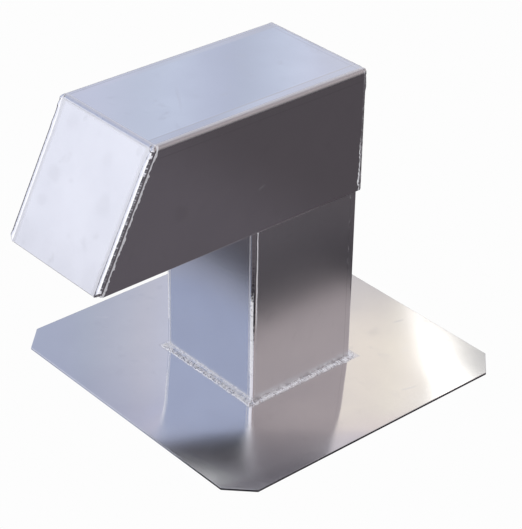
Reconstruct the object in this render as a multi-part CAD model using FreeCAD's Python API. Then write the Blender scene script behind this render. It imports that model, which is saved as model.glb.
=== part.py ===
import FreeCAD, Part
import math
import os

# Roof outlet hood of folded and welded aluminium sheet.
# A square riser stands on a roof plate with cropped corners. A hood with a sloped
# front slips over the riser, rests on its side walls and opens downwards in front
# of it, so lines or air come up the riser, turn over its low front wall and leave
# through the sheltered mouth.
# Millimetres. The origin is the centre of the square duct at the plate's underside.
# +Z is up, the hood projects towards -Y, and +X is the right side seen from the front.

# Roof plate
PLATE_SIDE = 400.0
PLATE_SHEET = 3.0
PLATE_CROP = 28.0

# Riser: left, rear and right walls are one folded sheet, the front wall is welded in
RISER_SIDE = 150.0
RISER_SHEET = 2.0
RISER_FOLD_INSIDE = 2.5
WEIR_RISE = 40.0

# Square hole in the plate, a little smaller than the riser's bore
DUCT_LEDGE = 0.5
DUCT_CORNER = 5.0

# Hood: roof and both sides are one folded sheet, front and rear are welded in
HOOD_SHEET = 2.5
HOOD_FOLD_INSIDE = 3.0
HOOD_SKIRT = 223.5
HOOD_HEIGHT = 147.0
HOOD_ROOF_LENGTH = 287.5
HOOD_MOUTH_LENGTH = 362.0

# Corner ground off each lower front corner of the hood, where the slanted seams end
NOSE_CROP = 7.0

# Slip fit of the hood on the riser, and the gap left under the folds that it rests on
SLIP_CLEARANCE = 0.75
SEAT_GAP = 0.3

# Flat bar across the mouth that hooks the hood on the riser's front wall
STRIP_HEIGHT = 30.0
STRIP_SHEET = 2.5
STRIP_WELD_LEG = 3.5
STRIP_WELD_INSET = 4.0

# Corner weld beads: radius of the bead and depth of its centre under both faces
HOOD_BEAD_RADIUS = 4.1
HOOD_BEAD_DEPTH = 2.6
HOOD_BEAD_END_RISE = 2.8
BROW_BEAD_RADIUS = 3.4
BROW_BEAD_DEPTH = 3.2
RIDGE_BEAD_RADIUS = 3.4
RIDGE_BEAD_DEPTH = 2.9
RISER_BEAD_RADIUS = 4.2
RISER_BEAD_DEPTH = 3.0
RISER_BEAD_STOP = 3.0
RISER_BEAD_DRESSED_RADIUS = 1.2

# Fillet weld round the riser's foot
FOOT_WELD_LEG = 4.5
FOOT_WELD_CROWN = 0.4

# How far cutting solids run past what they cut
OVERRUN = 20.0

# Places worked out from the sizes above
PLATE_HALF = PLATE_SIDE / 2
RISER_HALF = RISER_SIDE / 2
RISER_BORE_HALF = RISER_HALF - RISER_SHEET
RISER_FOLD_OUTSIDE = RISER_FOLD_INSIDE + RISER_SHEET
WEIR_TOP = HOOD_SKIRT + WEIR_RISE
HOOD_INNER_HALF = RISER_HALF + SLIP_CLEARANCE
HOOD_HALF = HOOD_INNER_HALF + HOOD_SHEET
HOOD_FOLD_OUTSIDE = HOOD_FOLD_INSIDE + HOOD_SHEET
HOOD_TOP = HOOD_SKIRT + HOOD_HEIGHT
HOOD_REAR = HOOD_HALF
HOOD_FRONT = HOOD_REAR - HOOD_MOUTH_LENGTH
HOOD_RUN = HOOD_MOUTH_LENGTH - HOOD_ROOF_LENGTH
HOOD_SLOPE = HOOD_RUN / HOOD_HEIGHT
SLOPE_STRETCH = math.sqrt(1 + HOOD_SLOPE ** 2)

# The hood's inner folds come down on the outer top edges of the riser's side walls
SEAT_DROP = math.sqrt((HOOD_FOLD_INSIDE - SEAT_GAP) ** 2 - (HOOD_FOLD_INSIDE - SLIP_CLEARANCE) ** 2)
RISER_TOP = HOOD_TOP - HOOD_FOLD_OUTSIDE + SEAT_DROP

# The hood's corner beads turn over the folds no tighter than their own radius allows
HOOD_BEAD_BEND = max(HOOD_FOLD_OUTSIDE - HOOD_BEAD_DEPTH, 1.1 * HOOD_BEAD_RADIUS)
HOOD_BEAD_TURN = HOOD_HALF - HOOD_BEAD_DEPTH - HOOD_BEAD_BEND


def point(x, y, z):
    return FreeCAD.Vector(x, y, z)


def block(x0, x1, y0, y1, z0, z1):
    return Part.makeBox(x1 - x0, y1 - y0, z1 - z0, point(x0, y0, z0))


def flat_face(corners):
    return Part.Face(Part.makePolygon(corners + corners[:1]))


def arch(half, foot, crown, radius, place, reach):
    """Solid below an arch with two rounded corners, drawn by place(u, v) and pushed along reach."""
    side = half - radius
    spring = crown - radius
    diagonal = radius * math.sqrt(0.5)
    left = Part.Arc(place(-half, spring), place(-side - diagonal, spring + diagonal), place(-side, crown))
    right = Part.Arc(place(side, crown), place(side + diagonal, spring + diagonal), place(half, spring))
    edges = [
        Part.makeLine(place(-half, foot), place(-half, spring)),
        left.toShape(),
        Part.makeLine(place(-side, crown), place(side, crown)),
        right.toShape(),
        Part.makeLine(place(half, spring), place(half, foot)),
        Part.makeLine(place(half, foot), place(-half, foot)),
    ]
    return Part.Face(Part.Wire(edges)).extrude(reach)


def tube(path, radius):
    """Round bar along a smooth path, with a ball on its first end."""
    first = path.OrderedEdges[0]
    start = first.valueAt(first.FirstParameter)
    ring = Part.Wire(Part.makeCircle(radius, start, first.tangentAt(first.FirstParameter)))
    return path.makePipeShell([ring], True, False).fuse(Part.makeSphere(radius, start))


def mirrored(shape):
    return shape.mirror(point(0, 0, 0), point(1, 0, 0))


def one_solid(shape):
    """The single solid of a result, with its seams between like faces removed."""
    return shape.removeSplitter().Solids[0]


# Roof plate

def base_plate():
    near = PLATE_HALF - PLATE_CROP
    corners = [
        point(-PLATE_HALF, -near, 0), point(-near, -PLATE_HALF, 0),
        point(near, -PLATE_HALF, 0), point(PLATE_HALF, -near, 0),
        point(PLATE_HALF, near, 0), point(near, PLATE_HALF, 0),
        point(-near, PLATE_HALF, 0), point(-PLATE_HALF, near, 0),
    ]
    plate = flat_face(corners).extrude(point(0, 0, PLATE_SHEET))
    half = RISER_BORE_HALF - DUCT_LEDGE
    duct = block(-half, half, -half, half, -OVERRUN, OVERRUN)
    upright = [edge for edge in duct.Edges if abs(edge.tangentAt(0).z) > 0.5]
    return plate.cut(duct.makeFillet(DUCT_CORNER, upright))


# Riser

def riser_arch(half, radius, foot, front, top):
    """Upright column with rounded rear corners, as wide as the riser or as its bore."""
    return arch(half, front, half, radius, lambda u, v: point(u, v, foot), point(0, 0, top - foot))


def riser_shell():
    outside = riser_arch(RISER_HALF, RISER_FOLD_OUTSIDE, PLATE_SHEET, -RISER_BORE_HALF, RISER_TOP)
    bore = riser_arch(RISER_BORE_HALF, RISER_FOLD_INSIDE, PLATE_SHEET, -RISER_SIDE, RISER_TOP)
    return outside.cut(bore)


def riser_front_panel():
    return block(-RISER_BORE_HALF, RISER_BORE_HALF, -RISER_HALF, -RISER_BORE_HALF, PLATE_SHEET, WEIR_TOP)


def riser_seam_weld(shell, foot_weld):
    """Right front corner: proud below the hood's skirt, dressed flush where the hood slides."""
    fill = block(RISER_BORE_HALF, RISER_HALF, -RISER_HALF, -RISER_BORE_HALF, PLATE_SHEET, WEIR_TOP)
    outer = [edge for edge in fill.Edges if is_upright_at(edge, RISER_HALF, -RISER_HALF)]
    fill = fill.makeFillet(min(RISER_BEAD_DRESSED_RADIUS, 0.9 * RISER_SHEET), outer)
    centre = RISER_HALF - RISER_BEAD_DEPTH
    top = HOOD_SKIRT - RISER_BEAD_STOP - RISER_BEAD_RADIUS
    bead = tube(Part.Wire(Part.makeLine(point(centre, -centre, top), point(centre, -centre, PLATE_SHEET))),
                RISER_BEAD_RADIUS)
    inside = block(-RISER_SIDE, RISER_BORE_HALF, -RISER_HALF, RISER_SIDE, 0, HOOD_TOP)
    return one_solid(bead.cut(inside).cut(shell).cut(foot_weld).fuse(fill))


def is_upright_at(edge, x, y):
    middle = edge.CenterOfMass
    return abs(middle.x - x) < 1e-6 and abs(middle.y - y) < 1e-6


# Fillet weld round the riser's foot

def foot_section(origin, outward):
    """Section of the fillet: one leg on the plate along outward, the other up the wall."""
    toe = origin + outward * FOOT_WELD_LEG
    head = origin + point(0, 0, FOOT_WELD_LEG)
    swell = (outward + point(0, 0, 1)) * (FOOT_WELD_LEG / 2 + FOOT_WELD_CROWN * math.sqrt(0.5))
    edges = [
        Part.makeLine(origin, toe),
        Part.Arc(toe, origin + swell, head).toShape(),
        Part.makeLine(head, origin),
    ]
    return Part.Face(Part.Wire(edges))


def foot_run(x0, y0, x1, y1, outward):
    start = point(x0, y0, PLATE_SHEET)
    return foot_section(start, outward).extrude(point(x1, y1, PLATE_SHEET) - start)


def foot_turn(x, y, radius, start_angle):
    """A quarter turn of the fillet, anticlockwise from start_angle round the corner's centre."""
    angle = math.radians(start_angle)
    outward = point(math.cos(angle), math.sin(angle), 0)
    centre = point(x, y, PLATE_SHEET)
    return foot_section(centre + outward * radius, outward).revolve(centre, point(0, 0, 1), 90)


def foot_weld_front():
    run = foot_run(-RISER_HALF, -RISER_HALF, RISER_HALF, -RISER_HALF, point(0, -1, 0))
    right = foot_turn(RISER_HALF, -RISER_HALF, 0, 270)
    left = foot_turn(-RISER_HALF, -RISER_HALF, 0, 180)
    return one_solid(run.fuse([left, right]))


def foot_weld_rear():
    near = RISER_HALF - RISER_FOLD_OUTSIDE
    run = foot_run(near, RISER_HALF, -near, RISER_HALF, point(0, 1, 0))
    right = foot_turn(near, near, RISER_FOLD_OUTSIDE, 0)
    left = foot_turn(-near, near, RISER_FOLD_OUTSIDE, 90)
    return one_solid(run.fuse([left, right]))


def foot_weld_right():
    rear = RISER_HALF - RISER_FOLD_OUTSIDE
    return foot_run(RISER_HALF, -RISER_HALF, RISER_HALF, rear, point(1, 0, 0))


# Hood

def front_y(z):
    """Y of the sloped front's outer face at height z."""
    return HOOD_FRONT + (z - HOOD_SKIRT) * HOOD_SLOPE


def space_in_front(inset):
    """The space in front of a plane that lies inset behind the sloped face."""
    low = HOOD_SKIRT - 2 * OVERRUN
    high = HOOD_TOP + OVERRUN
    shift = inset * SLOPE_STRETCH
    far = front_y(low) - OVERRUN
    width = HOOD_HALF + OVERRUN
    corners = [
        point(-width, front_y(low) + shift, low),
        point(-width, front_y(high) + shift, high),
        point(-width, far, high),
        point(-width, far, low),
    ]
    return flat_face(corners).extrude(point(2 * width, 0, 0))


def hood_arch(half, radius, foot, crown, rear):
    """The hood's cross-section as a bar from in front of the hood back to rear."""
    start = HOOD_FRONT - OVERRUN
    return arch(half, foot, crown, radius, lambda u, v: point(u, start, v), point(0, rear - start, 0))


def hood_interior(foot, rear):
    return hood_arch(HOOD_INNER_HALF, HOOD_FOLD_INSIDE, foot, HOOD_TOP - HOOD_SHEET, rear)


def hood_shell():
    rear = HOOD_REAR - HOOD_SHEET
    outside = hood_arch(HOOD_HALF, HOOD_FOLD_OUTSIDE, HOOD_SKIRT, HOOD_TOP, rear)
    return outside.cut(hood_interior(HOOD_SKIRT - OVERRUN, rear)).cut(space_in_front(HOOD_SHEET))


def hood_front_panel():
    slab = space_in_front(HOOD_SHEET).cut(space_in_front(0))
    return hood_interior(HOOD_SKIRT, 0).common(slab)


def hood_rear_panel():
    start = HOOD_REAR - HOOD_SHEET
    return arch(HOOD_INNER_HALF, HOOD_SKIRT, HOOD_TOP - HOOD_SHEET, HOOD_FOLD_INSIDE,
                lambda u, v: point(u, start, v), point(0, HOOD_SHEET, 0))


def nose_corner():
    """What is ground off the right lower front corner of the hood."""
    across = point(HOOD_HALF - NOSE_CROP, HOOD_FRONT, HOOD_SKIRT)
    behind = point(HOOD_HALF, HOOD_FRONT + NOSE_CROP, HOOD_SKIRT)
    above = point(HOOD_HALF, front_y(HOOD_SKIRT + NOSE_CROP), HOOD_SKIRT + NOSE_CROP)
    middle = (across + behind + above) * (1 / 3)
    outward = (behind - across).cross(above - across).normalize()
    corners = [middle + (corner - middle) * 3 for corner in (across, behind, above)]
    return flat_face(corners).extrude(outward * (2 * NOSE_CROP))


def kept_clear(shell):
    """What no outer bead of the hood enters: its sheets, its inside and the space below its skirt."""
    inside = hood_interior(HOOD_SKIRT - OVERRUN, HOOD_REAR).cut(space_in_front(0))
    width = HOOD_HALF + OVERRUN
    below = block(-width, width, HOOD_FRONT - OVERRUN, HOOD_REAR + OVERRUN, HOOD_SKIRT - OVERRUN, HOOD_SKIRT)
    return [shell, inside, below]


def corner_weld(clear, slope, rear_offset):
    """Right-hand bead up a corner of the hood and round its fold to the edge of the roof.

    Its centre line is drawn upright and then leaned by slope along Y."""
    side = HOOD_HALF - HOOD_BEAD_DEPTH
    spring = HOOD_TOP - HOOD_BEAD_DEPTH - HOOD_BEAD_BEND
    turn = HOOD_BEAD_TURN
    diagonal = HOOD_BEAD_BEND * math.sqrt(0.5)
    foot = point(side, 0, HOOD_SKIRT + HOOD_BEAD_END_RISE)
    bend = Part.Arc(point(side, 0, spring), point(turn + diagonal, 0, spring + diagonal),
                    point(turn, 0, spring + HOOD_BEAD_BEND))
    path = Part.Wire([Part.makeLine(foot, point(side, 0, spring)), bend.toShape()])
    lean = FreeCAD.Matrix()
    lean.A23 = slope
    lean.A24 = rear_offset
    leaning = Part.Wire(path.transformGeometry(lean).Edges)
    return one_solid(tube(leaning, HOOD_BEAD_RADIUS).cut(clear))


def cross_weld(clear, radius, depth, y):
    """Straight bead across the roof between the two corner beads."""
    half = HOOD_BEAD_TURN
    bar = Part.makeCylinder(radius, 2 * half, point(-half, y, HOOD_TOP - depth), point(1, 0, 0))
    return one_solid(bar.cut(clear))


def locating_strip():
    rear = -RISER_HALF - SLIP_CLEARANCE
    top = HOOD_SKIRT + STRIP_HEIGHT
    return block(-HOOD_INNER_HALF, HOOD_INNER_HALF, rear - STRIP_SHEET, rear, HOOD_SKIRT, top)


def strip_weld():
    """Fillet in the right-hand corner between the strip's front face and the hood's side."""
    y = -RISER_HALF - SLIP_CLEARANCE - STRIP_SHEET
    low = HOOD_SKIRT + STRIP_WELD_INSET
    corners = [
        point(HOOD_INNER_HALF, y, low),
        point(HOOD_INNER_HALF - STRIP_WELD_LEG, y, low),
        point(HOOD_INNER_HALF, y - STRIP_WELD_LEG, low),
    ]
    return flat_face(corners).extrude(point(0, 0, STRIP_HEIGHT - 2 * STRIP_WELD_INSET))


def base_pieces():
    shell = riser_shell()
    front = foot_weld_front()
    right = foot_weld_right()
    seam = riser_seam_weld(shell, front.fuse(right))
    return {
        "base_plate": base_plate(),
        "riser_shell": shell,
        "riser_front_panel": riser_front_panel(),
        "riser_seam_weld_right": seam,
        "riser_seam_weld_left": mirrored(seam),
        "foot_weld_front": front,
        "foot_weld_rear": foot_weld_rear(),
        "foot_weld_right": right,
        "foot_weld_left": mirrored(right),
    }


def hood_pieces():
    nose = nose_corner()
    noses = [nose, mirrored(nose)]
    shell = hood_shell().cut(noses)
    front = hood_front_panel().cut(noses)
    clear = kept_clear(shell)
    lean_offset = HOOD_FRONT - HOOD_SKIRT * HOOD_SLOPE + HOOD_BEAD_DEPTH * SLOPE_STRETCH
    slant = corner_weld(clear + [nose], HOOD_SLOPE, lean_offset)
    rear = corner_weld(clear, 0, HOOD_REAR - HOOD_BEAD_DEPTH)
    brow_y = front_y(HOOD_TOP - BROW_BEAD_DEPTH) + BROW_BEAD_DEPTH * SLOPE_STRETCH
    strip_end = strip_weld()
    return {
        "hood_shell": shell,
        "hood_front_panel": front,
        "hood_rear_panel": hood_rear_panel(),
        "hood_slant_weld_right": slant,
        "hood_slant_weld_left": mirrored(slant),
        "hood_rear_weld_right": rear,
        "hood_rear_weld_left": mirrored(rear),
        "hood_brow_weld": cross_weld(clear, BROW_BEAD_RADIUS, BROW_BEAD_DEPTH, brow_y),
        "hood_ridge_weld": cross_weld(clear, RIDGE_BEAD_RADIUS, RIDGE_BEAD_DEPTH,
                                      HOOD_REAR - RIDGE_BEAD_DEPTH),
        "locating_strip": locating_strip(),
        "strip_weld_right": strip_end,
        "strip_weld_left": mirrored(strip_end),
    }


os.makedirs("parts", exist_ok=True)
for node, shape in {**base_pieces(), **hood_pieces()}.items():
    if len(shape.Solids) != 1 or not shape.isValid():
        raise RuntimeError(node + " is not one valid solid")
    shape.exportStep("parts/" + node + ".step")
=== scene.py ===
import math
import bmesh
import bpy
from mathutils import Matrix, Vector, noise


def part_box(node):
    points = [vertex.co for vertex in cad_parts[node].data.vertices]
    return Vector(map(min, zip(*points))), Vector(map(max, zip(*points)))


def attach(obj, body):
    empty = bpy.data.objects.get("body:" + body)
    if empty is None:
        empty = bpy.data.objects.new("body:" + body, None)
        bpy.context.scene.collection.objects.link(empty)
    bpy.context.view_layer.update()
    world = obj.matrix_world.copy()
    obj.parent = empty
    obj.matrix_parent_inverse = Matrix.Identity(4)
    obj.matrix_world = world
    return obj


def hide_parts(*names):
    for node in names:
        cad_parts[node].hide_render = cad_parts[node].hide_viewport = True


# Roof outlet hood of mill-finish aluminium sheet on a pale floor.
# Metres, in the frame of the solids: +Z is up and the hood projects towards -Y.

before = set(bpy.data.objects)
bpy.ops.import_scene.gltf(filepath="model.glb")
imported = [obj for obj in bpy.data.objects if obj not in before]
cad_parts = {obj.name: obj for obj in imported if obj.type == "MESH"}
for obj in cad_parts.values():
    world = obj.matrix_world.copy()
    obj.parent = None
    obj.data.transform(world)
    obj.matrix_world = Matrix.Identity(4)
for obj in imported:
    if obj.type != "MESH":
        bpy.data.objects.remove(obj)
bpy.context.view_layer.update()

MM = 0.001

# Sizes read from the solids
plate_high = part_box("base_plate")[1]
riser_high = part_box("riser_shell")[1]
weir_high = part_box("riser_front_panel")[1]
hood_low, hood_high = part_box("hood_shell")
face_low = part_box("hood_front_panel")[0]
back_low, back_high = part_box("hood_rear_panel")

PLATE_TOP = plate_high.z
PLATE_HALF = plate_high.x
RISER_HALF = riser_high.x
RISER_TOP = riser_high.z
RISER_SHEET = RISER_HALF - weir_high.x
WEIR_TOP = weir_high.z
SKIRT = hood_low.z
HOOD_TOP = hood_high.z
HOOD_HALF = hood_high.x
HOOD_FRONT = face_low.y
HOOD_REAR = back_high.y
HOOD_SHEET = back_high.y - back_low.y
HOOD_INNER = HOOD_HALF - HOOD_SHEET

# Sizes that the boxes don't give
PLATE_CROP = 28 * MM
DUCT_HALF = RISER_HALF - RISER_SHEET - 0.5 * MM
DUCT_CORNER = 5 * MM
RISER_FOLD = 4.5 * MM
HOOD_FOLD = 5.5 * MM
HOOD_OVERHANG = 74.5 * MM
NOSE_CROP = 7 * MM
HOOD_SLOPE = HOOD_OVERHANG / (HOOD_TOP - SKIRT)
SLOPE_STRETCH = math.sqrt(1 + HOOD_SLOPE ** 2)
FOOT_LEG = 6.8 * MM
FOOT_RISE = 2.6 * MM

# Edges and folds
EDGE_BREAK = 0.35 * MM
PLATE_BREAK = 0.5 * MM
MOUTH_BREAK = 0.9 * MM
FOLD_SEGMENTS = 10
SHARP_ANGLE = math.radians(20)
RIM_ANGLE = math.radians(50)
SAME_PLACE = 0.1 * MM

UP = Vector((0, 0, 1))
AHEAD = Vector((0, -1, 0))
BEHIND = Vector((0, 1, 0))
FRONT_NORMAL = Vector((0, -1, HOOD_SLOPE)) / SLOPE_STRETCH


class Value:
    """A socket in a node tree that can be used in sums."""

    def __init__(self, tree, socket):
        self.tree = tree
        self.socket = socket

    def sum(self, operation, first, second):
        return self.tree.add("Math", {"operation": operation}, {0: first, 1: second})

    def __add__(self, other):
        return self.sum("ADD", self, other)

    def __radd__(self, other):
        return self.sum("ADD", other, self)

    def __sub__(self, other):
        return self.sum("SUBTRACT", self, other)

    def __rsub__(self, other):
        return self.sum("SUBTRACT", other, self)

    def __mul__(self, other):
        return self.sum("MULTIPLY", self, other)

    def __rmul__(self, other):
        return self.sum("MULTIPLY", other, self)

    def __abs__(self):
        return self.tree.add("Math", {"operation": "ABSOLUTE"}, {0: self})


def opaque(colour):
    """A colour as a socket takes it: a link as it is, and three numbers with full cover added."""
    return colour if isinstance(colour, Value) else (*colour, 1)


class Tree:
    """The nodes of a finish, of the floor or of the room."""

    def __init__(self, owner):
        owner.use_nodes = True
        self.nodes = owner.node_tree.nodes
        self.links = owner.node_tree.links
        self.nodes.clear()

    def add(self, kind, settings=None, inputs=None, output=0):
        """A node of a type, with its settings made first and then its sockets' values or links."""
        node = self.nodes.new("ShaderNode" + kind)
        for name, setting in (settings or {}).items():
            if name == "stops":
                self.set_stops(node.color_ramp, setting)
            else:
                setattr(node, name, setting)
        for name, value in (inputs or {}).items():
            if isinstance(value, Value):
                self.links.new(value.socket, node.inputs[name])
            else:
                node.inputs[name].default_value = value
        return Value(self, node.outputs[output]) if node.outputs else node

    def set_stops(self, ramp, stops):
        while len(ramp.elements) < len(stops):
            ramp.elements.new(1.0)
        for element, (place, colour) in zip(ramp.elements, stops):
            element.position = place
            element.color = opaque(colour)

    def mix(self, factor, first, second):
        """A colour between two, by factor."""
        return self.add("Mix", {"data_type": "RGBA"}, {0: factor, 6: opaque(first), 7: opaque(second)}, 2)

    def dim(self, first, second):
        """One colour multiplied by another."""
        settings = {"data_type": "RGBA", "blend_type": "MULTIPLY"}
        return self.add("Mix", settings, {0: 1.0, 6: opaque(first), 7: opaque(second)}, 2)

    def fade(self, value, start, end):
        """0 before start, 1 after end, smooth between them."""
        return self.add("MapRange", {"interpolation_type": "SMOOTHSTEP"}, {0: value, 1: start, 2: end})

    def larger(self, first, second):
        return self.add("Math", {"operation": "MAXIMUM"}, {0: first, 1: second})

    def spot(self):
        """The point on the piece, in the frame of the solids."""
        return self.add("TexCoord", output=3)

    def axes(self, vector):
        """The X, Y and Z of a point or a direction."""
        return [self.add("SeparateXYZ", None, {0: vector}, axis) for axis in range(3)]

    def stretched(self, spot, scale):
        return self.add("Mapping", {"vector_type": "POINT"}, {"Vector": spot, "Scale": scale})

    def noise(self, spot, scale, detail=2.0, roughness=0.5):
        return self.add("TexNoise", None,
                        {"Vector": spot, "Scale": scale, "Detail": detail, "Roughness": roughness})


# Marks in the finishes

def line(tree, distance, width):
    """1 on a line where distance is 0, fading to 0 at width on both sides."""
    return 1 - tree.fade(abs(distance), 0.0, width)


def band(tree, distance, start, end, soft):
    """1 between two distances, with soft edges."""
    begun = tree.fade(distance, start - soft, start + soft)
    return begun * (1 - tree.fade(distance, end - soft, end + soft))


def wavering(tree, spot, scale, reach):
    """A wandering shift of up to about reach for the edge of a mark."""
    return (tree.noise(spot, scale, 2.0, 0.6) - 0.5) * 2.0 * reach


def patch(tree, spot, place, size):
    """A soft round patch at a place, with an uneven outline."""
    away = tree.add("VectorMath", {"operation": "DISTANCE"}, {0: spot, 1: place}, 1)
    return 1 - tree.fade(away + wavering(tree, spot, 0.7 / size, size / 2), 0.25 * size, size)


def scratch(tree, across, up, middle, half_length, half_width, lean):
    """A short straight scratch about a middle point, leaning by an angle in degrees."""
    cos = math.cos(math.radians(lean))
    sin = math.sin(math.radians(lean))
    right = across - middle[0] * MM
    above = up - middle[1] * MM
    along_it = line(tree, right * cos + above * sin, half_length * MM)
    return along_it * line(tree, above * cos - right * sin, half_width * MM)


# Sheet finishes

ALUMINIUM = (0.912, 0.914, 0.920)
ALUMINIUM_DULL = (0.850, 0.853, 0.868)
ALUMINIUM_WELD = (0.900, 0.900, 0.905)
ALUMINIUM_SOOT = (0.500, 0.495, 0.505)
ALUMINIUM_FROST = (0.820, 0.820, 0.835)

GRAIN_ACROSS = 1400
GRAIN_HEIGHT = 0.0008 * MM
PRESS_DEPTH = 0.04 * MM
SCUFF_DEPTH = 0.004 * MM


def rolled(axis, grain_along):
    """Scale of the rolling lines: grain_along per metre along an axis, and far more across it."""
    scale = [GRAIN_ACROSS, GRAIN_ACROSS, GRAIN_ACROSS]
    scale[axis] = grain_along
    return scale


def sheet_finish(name, roughness, grain_scale, bow, details):
    """Rolled sheet: fine lines along the rolling direction, clouds, smudges and small scuffs.

    bow is how far the sheet waves. details(tree, spot, x, y, z) gives the pressed lines, the zones
    that the welding arc frosted, the dirty patches, extra roughness and an overall bend."""
    finish = bpy.data.materials.new(name)
    tree = Tree(finish)
    spot = tree.spot()
    x, y, z = tree.axes(spot)
    grain = tree.noise(tree.stretched(spot, grain_scale), 1.0, 3.0, 0.6)
    cloud = tree.noise(spot, 16.0, 3.0, 0.55)
    smear = tree.fade(tree.noise(spot, 52.0, 3.0, 0.6), 0.58, 0.76)
    scuffs = tree.noise(tree.stretched(spot, (420.0, 130.0, 300.0)), 1.0, 1.0, 0.4)
    scuffed = tree.fade(scuffs, 0.735, 0.76)
    wave = tree.noise(spot, 7.0, 1.0, 0.4)
    pressed, frosted, dirty, matt, bend = details(tree, spot, x, y, z)
    colour = tree.mix(tree.fade(cloud, 0.3, 0.7) * 0.45 + grain * 0.1, ALUMINIUM, ALUMINIUM_DULL)
    colour = tree.mix(smear * 0.08 + dirty * 0.30, colour, ALUMINIUM_SOOT)
    colour = tree.mix(pressed * 0.50, colour, ALUMINIUM_SOOT)
    colour = tree.mix(frosted * 0.85, colour, ALUMINIUM_FROST)
    rough = roughness + (grain - 0.5) * 0.02 + (cloud - 0.5) * 0.05 + smear * 0.04 + dirty * 0.05
    rough = rough + frosted * 0.48 + matt
    height = wave * bow + grain * GRAIN_HEIGHT - pressed * PRESS_DEPTH - scuffed * SCUFF_DEPTH + bend
    normal = tree.add("Bump", None, {"Strength": 1.0, "Distance": 1.0, "Height": height})
    shader = tree.add("BsdfPrincipled", None, {
        "Base Color": colour, "Metallic": 1 - frosted * 0.6, "Roughness": rough, "Normal": normal})
    tree.add("OutputMaterial", None, {"Surface": shader})
    return finish


# Lines that the press brake left: on the roof in X and Y, on the hood's sides in Z, on the riser in X and Y
NEAR_PRESS_LINE = 62.5 * MM
FAR_PRESS_LINE = -69.7 * MM
REAR_PRESS_LINE = 68.5 * MM
SIDE_PRESS_LINE = HOOD_TOP - 13.5 * MM
RISER_PRESS_LINE = RISER_HALF - 10 * MM

# Middle, half length and half width in mm, and lean in degrees of a faint streak on the roof
ROOF_STREAK = ((7, -122), 40, 3.0, -33)

# The same of the scuffs on the hood's sides, with their strength
SIDE_SCUFFS = [((-68, 277), 6, 0.7, 32, 0.30), ((-114, 290), 4, 0.6, 20, 0.25)]


def hood_shell_details(tree, spot, x, y, z):
    """Press lines beside the folds, and the zones frosted by the front and rear welds."""
    on_roof = tree.fade(z, HOOD_TOP - 1.2 * MM, HOOD_TOP - 0.2 * MM)
    behind = (y - (z - SKIRT) * HOOD_SLOPE - HOOD_FRONT) * (1 / SLOPE_STRETCH)
    inside = tree.fade(behind, 3.5 * MM, 5.0 * MM) * on_roof
    near_line = line(tree, x - NEAR_PRESS_LINE, 0.6 * MM)
    far_line = line(tree, x - FAR_PRESS_LINE, 0.6 * MM)
    rear_line = line(tree, y - REAR_PRESS_LINE, 0.5 * MM)
    side_line = line(tree, z - SIDE_PRESS_LINE, 0.7 * MM)
    pressed = (near_line + far_line + rear_line * 0.6) * inside + side_line * 0.6
    shift = wavering(tree, spot, 150.0, 3.6 * MM)
    slant_zone = band(tree, behind + shift, -5.0 * MM, 6.3 * MM, 0.4 * MM) * (1 - on_roof)
    brow_zone = band(tree, behind, 2.4 * MM, 4.4 * MM, 0.4 * MM) * on_roof
    rear_zone = band(tree, HOOD_REAR - y + shift, 4.4 * MM, 6.0 * MM, 0.4 * MM)
    low_rear = rear_zone * (1 - tree.fade(z, SKIRT + 40 * MM, SKIRT + 75 * MM))
    frosted = slant_zone * 0.7 + brow_zone * 0.4 + rear_zone * on_roof * 0.3 + low_rear * 0.9
    frosted = frosted + scratch(tree, x, y, *ROOF_STREAK) * on_roof * 0.08
    frosted = frosted + patch(tree, spot, (50 * MM, HOOD_REAR, HOOD_TOP), 42 * MM) * on_roof * 0.06
    for middle, half_length, half_width, lean, amount in SIDE_SCUFFS:
        scuff = scratch(tree, y, z, middle, half_length, half_width, lean)
        frosted = frosted + scuff * (1 - on_roof) * amount
    border = tree.fade(x, NEAR_PRESS_LINE - MM, NEAR_PRESS_LINE)
    border = border * (1 - tree.fade(y, 20 * MM, REAR_PRESS_LINE))
    dirty = patch(tree, spot, (HOOD_HALF, -177 * MM, 283 * MM), 14 * MM) * 0.4 + border * on_roof * 0.15
    outside = tree.larger(abs(x) - NEAR_PRESS_LINE, 0.0)
    at_fold = tree.fade(abs(x), HOOD_HALF - HOOD_FOLD - 2 * MM, HOOD_HALF - HOOD_FOLD + MM)
    at_fold = at_fold * tree.fade(z, HOOD_TOP - HOOD_FOLD, HOOD_TOP - HOOD_FOLD + MM)
    return pressed, frosted, dirty, at_fold * 0.28, outside * -0.022


# Across, up, size and strength of the dull clouds on the sloped panel, in mm
FACE_CLOUDS = [
    (-45, 302, 9, 1.0), (-50, 274, 7, 0.8), (39, 300, 11, 0.9), (-46, 353, 9, 0.7), (60, 360, 5, 1.0),
    (21, 339, 8, 0.5), (62, 238, 16, 0.6), (5, 232, 22, 0.4), (-54, 240, 14, 0.4),
]


def face_details(tree, spot, x, y, z):
    """Dull clouds on the sloped panel and the frosted zone inside its welds."""
    dirty = (1 - tree.fade(z, SKIRT, SKIRT + 40 * MM)) * 0.10
    for across, up, size, amount in FACE_CLOUDS:
        middle = (across * MM, front_y(up * MM), up * MM)
        dirty = dirty + patch(tree, spot, middle, size * 1.5 * MM) * amount * 0.3
    shift = wavering(tree, spot, 90.0, 1.5 * MM)
    side_zone = band(tree, HOOD_HALF - abs(x) + shift, 0.0, 11.0 * MM, 2.2 * MM)
    top_zone = band(tree, HOOD_TOP - z + shift, 0.0, 5.0 * MM, 0.8 * MM)
    return 0.0, side_zone * 0.35 + top_zone * 0.20, dirty, 0.0, 0.0


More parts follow.
